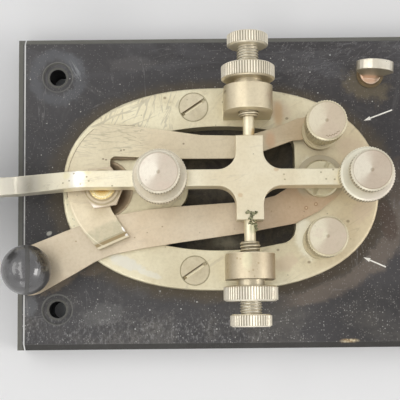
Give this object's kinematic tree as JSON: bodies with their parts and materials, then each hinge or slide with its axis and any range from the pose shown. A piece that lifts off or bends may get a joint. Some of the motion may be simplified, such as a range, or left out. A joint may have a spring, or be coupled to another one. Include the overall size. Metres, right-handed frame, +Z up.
{
  "type": "telegraph key",
  "caption": "Straight telegraph key: an oval metal frame on a black base carries a rocking sprung lever with a knob, a circuit closer with a ball and knurled binding posts.",
  "frame": {"origin": "middle of the four base holes, on the bottom face of the base plate", "axes": "+X towards the back of the key, away from the knob; +Z up, out of the top of the base plate; +Y to the side of the insulated binding post"},
  "size_m": [0.1518, 0.0794, 0.0355],
  "materials": {
    "black_base": "worn matte black moulded plate",
    "plated_frame": "aged satin plating",
    "plated_lever": "aged satin plating",
    "plated_metal": "worn bright plating",
    "strap_metal": "dull tarnished sheet",
    "brass_parts": "plain turned brass",
    "contact_metal": "worn golden contact face",
    "silver_contact": "bright contact face",
    "spring_steel": "drawn spring wire",
    "insulation": "dark fibre",
    "black_knob": "polished black"
  },
  "bodies": {
    "base": {"base_plate": "black_base", "key_frame": "plated_frame", "frame_screws": "plated_metal", "frame_nuts": "brass_parts", "contact_strap": "strap_metal", "strap_insulator": "insulation", "contact_stud": "plated_metal", "contact_disc": "contact_metal", "contact_spacer": "brass_parts", "post_stud_a": "plated_metal", "post_stud_b": "plated_metal", "post_insulator": "insulation", "stud_nuts": "brass_parts", "under_link": "brass_parts", "terminal_insert": "brass_parts", "insert_nut": "brass_parts", "closer_pivot_screw": "plated_metal", "closer_washer": "plated_metal", "return_spring": "spring_steel"},
    "rocker": {"lever": "plated_lever", "axle": "plated_metal", "upper_contact": "silver_contact", "knob": "black_knob", "knob_screw": "plated_metal"},
    "tension_screw": {"spring_screw": "plated_metal"},
    "tension_nut": {"spring_locknut": "plated_metal"},
    "gap_screw": {"stop_screw": "plated_metal"},
    "gap_nut": {"stop_locknut": "plated_metal"},
    "left_pivot": {"pivot_screw_left": "plated_metal"},
    "right_pivot": {"pivot_screw_right": "plated_metal"},
    "left_pivot_nut": {"pivot_locknut_left": "plated_metal"},
    "right_pivot_nut": {"pivot_locknut_right": "plated_metal"},
    "clamp_a": {"clamp_washer_a": "plated_metal"},
    "clamp_b": {"clamp_washer_b": "plated_metal"},
    "post_nut_a": {"binding_nut_a": "plated_metal"},
    "post_nut_b": {"binding_nut_b": "plated_metal"},
    "closer": {"closer_arm": "strap_metal", "closer_ball": "black_knob", "closer_ball_screw": "plated_metal"},
    "thumb": {"thumb_screw": "plated_metal"}
  },
  "joints": [
    {"name": "lever_rock", "type": "hinge", "parent": "base", "child": "rocker", "pos_m": [-0.0023, 0, 0.0232], "axis": [0, -1, 0], "range_deg": [0, 1.2], "stiffness_Nm_per_rad": 0.5, "springref_deg": -5.73, "deforming": ["return_spring"]},
    {"name": "closer_swing", "type": "hinge", "parent": "base", "child": "closer", "pos_m": [0.0156, 0.0018, 0.0145], "axis": [0, 0, 1], "range_deg": [0, 9.5]},
    {"name": "tension_screw_turn", "type": "hinge", "parent": "rocker", "child": "tension_screw", "pos_m": [-0.0234, 0.0008, 0.03], "axis": [0, 0, 1], "continuous": true},
    {"name": "tension_nut_turn", "type": "hinge", "parent": "rocker", "child": "tension_nut", "pos_m": [-0.0234, 0.0008, 0.028], "axis": [0, 0, 1], "continuous": true},
    {"name": "gap_screw_turn", "type": "hinge", "parent": "rocker", "child": "gap_screw", "pos_m": [0.0248, 0.0008, 0.03], "axis": [0, 0, 1], "continuous": true},
    {"name": "gap_nut_turn", "type": "hinge", "parent": "rocker", "child": "gap_nut", "pos_m": [0.0248, 0.0008, 0.028], "axis": [0, 0, 1], "continuous": true},
    {"name": "left_pivot_turn", "type": "hinge", "parent": "base", "child": "left_pivot", "pos_m": [-0.0023, 0.025, 0.0232], "axis": [0, 1, 0], "continuous": true},
    {"name": "right_pivot_turn", "type": "hinge", "parent": "base", "child": "right_pivot", "pos_m": [-0.0023, -0.025, 0.0232], "axis": [0, -1, 0], "continuous": true},
    {"name": "left_nut_turn", "type": "hinge", "parent": "base", "child": "left_pivot_nut", "pos_m": [-0.0023, 0.025, 0.0232], "axis": [0, 1, 0], "continuous": true},
    {"name": "right_nut_turn", "type": "hinge", "parent": "base", "child": "right_pivot_nut", "pos_m": [-0.0023, -0.025, 0.0232], "axis": [0, -1, 0], "continuous": true},
    {"name": "clamp_a_rise", "type": "slide", "parent": "base", "child": "clamp_a", "axis": [0, 0, 1], "range_m": [0, 0.002]},
    {"name": "post_nut_a_turn", "type": "hinge", "parent": "clamp_a", "child": "post_nut_a", "pos_m": [0.0156, 0.0134, 0.02], "axis": [0, 0, 1], "range_deg": [0, 900]},
    {"name": "clamp_b_rise", "type": "slide", "parent": "base", "child": "clamp_b", "axis": [0, 0, 1], "range_m": [0, 0.002]},
    {"name": "post_nut_b_turn", "type": "hinge", "parent": "clamp_b", "child": "post_nut_b", "pos_m": [0.0156, -0.0134, 0.02], "axis": [0, 0, 1], "range_deg": [0, 900]},
    {"name": "thumb_turn", "type": "hinge", "parent": "base", "child": "thumb", "pos_m": [0.0295, 0.0294, 0.012], "axis": [0, 0, 1], "continuous": true}
  ],
  "couplings": [
    {"joint": "post_nut_a_turn", "follows": "clamp_a_rise", "rad_per_m": 7854},
    {"joint": "post_nut_b_turn", "follows": "clamp_b_rise", "rad_per_m": 7854}
  ]
}
